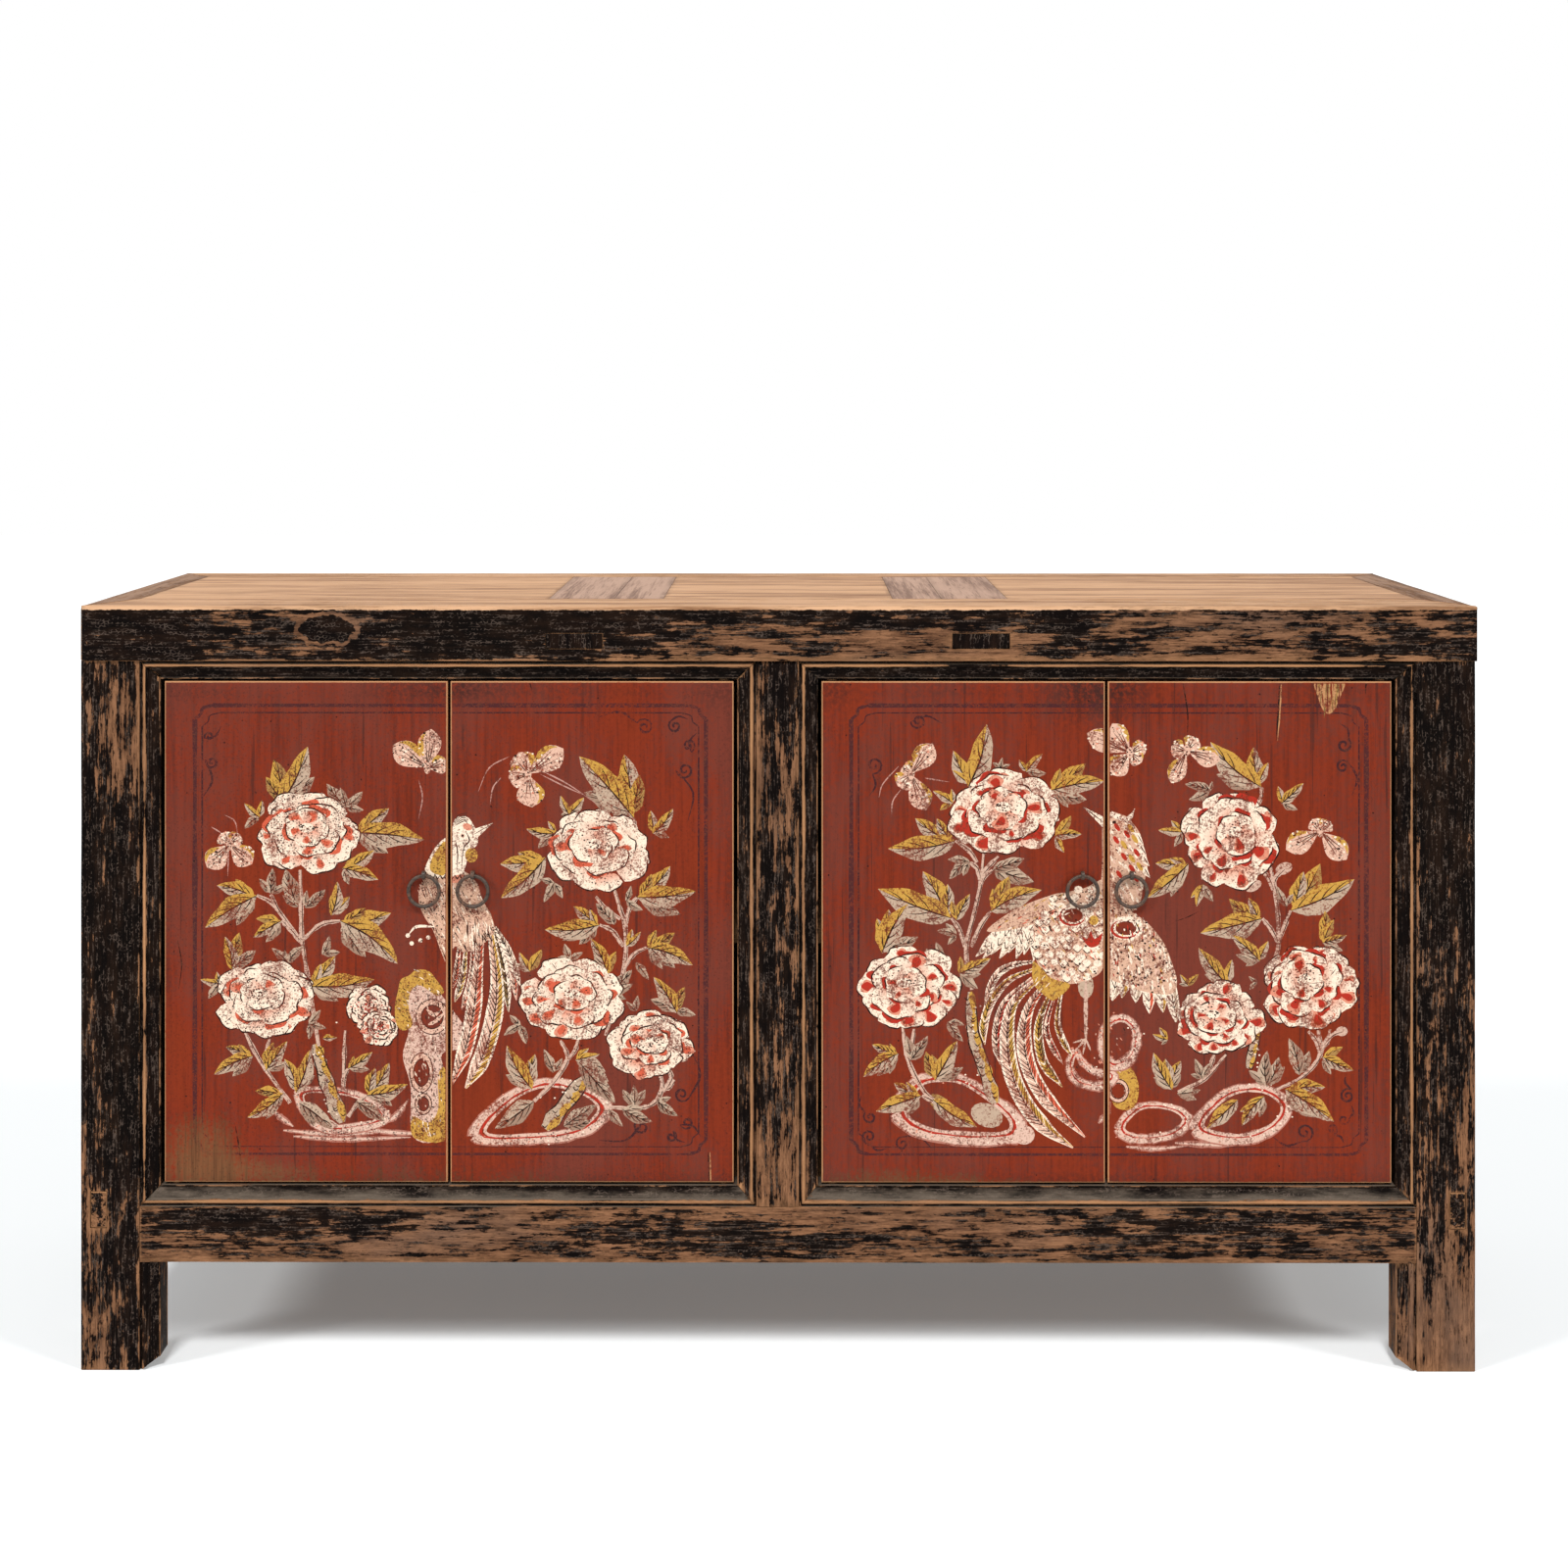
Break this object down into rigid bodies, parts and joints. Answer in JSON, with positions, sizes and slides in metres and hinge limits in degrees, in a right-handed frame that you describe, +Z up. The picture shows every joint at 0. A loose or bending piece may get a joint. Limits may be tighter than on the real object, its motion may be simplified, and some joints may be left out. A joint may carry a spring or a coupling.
{
  "type": "chinese sideboard",
  "caption": "Low Chinese cupboard with a worn black lacquer frame, red plank doors painted with peonies and phoenixes, iron ring pulls and a bare wooden top.",
  "frame": {"origin": "on the floor under the middle of the case", "axes": "+Z up, the doors look along -Y, +X to the right when facing the doors"},
  "size_m": [1.606, 0.456, 0.877],
  "materials": {
    "black_lacquer": "black lacquer, crackled and worn to brown wood",
    "red_paint": "dull red paint with painted flowers, worn",
    "top_pale_wood": "bare, dry pale wood",
    "top_brown_wood": "bare, weathered brown wood",
    "inner_wood": "unfinished wood, darkened with age",
    "iron": "wrought iron, dark and lightly rusted"
  },
  "bodies": {
    "case": {"leg_front_left": "black_lacquer", "leg_front_right": "black_lacquer", "leg_back_left": "black_lacquer", "leg_back_right": "black_lacquer", "centre_stile": "black_lacquer", "upper_rail_left": "black_lacquer", "upper_rail_right": "black_lacquer", "lower_front_rail": "black_lacquer", "side_upper_rail_left": "black_lacquer", "side_upper_rail_right": "black_lacquer", "side_lower_rail_left": "black_lacquer", "side_lower_rail_right": "black_lacquer", "side_panel_left": "black_lacquer", "side_panel_right": "black_lacquer", "top_front_rail": "black_lacquer", "top_back_rail": "top_pale_wood", "top_panel_left": "top_pale_wood", "top_panel_centre": "top_pale_wood", "top_panel_right": "top_pale_wood", "top_end_rail_left": "top_brown_wood", "top_end_rail_right": "top_brown_wood", "top_cross_board_left": "top_brown_wood", "top_cross_board_right": "top_brown_wood", "top_narrow_board_left": "top_brown_wood", "top_narrow_board_right": "top_brown_wood", "back_upper_rail": "inner_wood", "back_lower_rail": "inner_wood", "back_stile": "inner_wood", "back_panel_left": "inner_wood", "back_panel_right": "inner_wood", "lower_cross_rail": "inner_wood", "floor_board_left": "inner_wood", "floor_board_right": "inner_wood", "partition": "inner_wood", "shelf_left": "inner_wood", "shelf_right": "inner_wood", "shelf_bearers_left": "inner_wood", "shelf_bearers_right": "inner_wood", "door_stops": "inner_wood"},
    "left_outer_leaf": {"left_outer_door_boards": "red_paint", "left_outer_door_battens": "inner_wood", "left_outer_door_pivots": "inner_wood", "left_outer_strap_eye": "iron"},
    "left_outer_pull": {"left_outer_ring": "iron"},
    "left_inner_leaf": {"left_inner_door_boards": "red_paint", "left_inner_door_battens": "inner_wood", "left_inner_door_pivots": "inner_wood", "left_inner_strap_eye": "iron"},
    "left_inner_pull": {"left_inner_ring": "iron"},
    "right_inner_leaf": {"right_inner_door_boards": "red_paint", "right_inner_door_battens": "inner_wood", "right_inner_door_pivots": "inner_wood", "right_inner_strap_eye": "iron"},
    "right_inner_pull": {"right_inner_ring": "iron"},
    "right_outer_leaf": {"right_outer_door_boards": "red_paint", "right_outer_door_battens": "inner_wood", "right_outer_door_pivots": "inner_wood", "right_outer_strap_eye": "iron"},
    "right_outer_pull": {"right_outer_ring": "iron"}
  },
  "joints": [
    {"name": "left_outer_hinge", "type": "hinge", "parent": "case", "child": "left_outer_leaf", "pos_m": [-0.694, -0.206, 0.503], "axis": [0, 0, -1], "range_deg": [0, 105]},
    {"name": "left_outer_ring_swing", "type": "hinge", "parent": "left_outer_leaf", "child": "left_outer_pull", "pos_m": [-0.40635, -0.2212, 0.5675], "axis": [-1, 0, 0], "range_deg": [-4, 165]},
    {"name": "left_inner_hinge", "type": "hinge", "parent": "case", "child": "left_inner_leaf", "pos_m": [-0.0625, -0.206, 0.503], "axis": [0, 0, 1], "range_deg": [0, 90]},
    {"name": "left_inner_ring_swing", "type": "hinge", "parent": "left_inner_leaf", "child": "left_inner_pull", "pos_m": [-0.35015, -0.2212, 0.5675], "axis": [-1, 0, 0], "range_deg": [-4, 165]},
    {"name": "right_inner_hinge", "type": "hinge", "parent": "case", "child": "right_inner_leaf", "pos_m": [0.0625, -0.206, 0.503], "axis": [0, 0, -1], "range_deg": [0, 90]},
    {"name": "right_inner_ring_swing", "type": "hinge", "parent": "right_inner_leaf", "child": "right_inner_pull", "pos_m": [0.35015, -0.2212, 0.5675], "axis": [-1, 0, 0], "range_deg": [-4, 165]},
    {"name": "right_outer_hinge", "type": "hinge", "parent": "case", "child": "right_outer_leaf", "pos_m": [0.694, -0.206, 0.503], "axis": [0, 0, 1], "range_deg": [0, 105]},
    {"name": "right_outer_ring_swing", "type": "hinge", "parent": "right_outer_leaf", "child": "right_outer_pull", "pos_m": [0.40635, -0.2212, 0.5675], "axis": [-1, 0, 0], "range_deg": [-4, 165]}
  ]
}
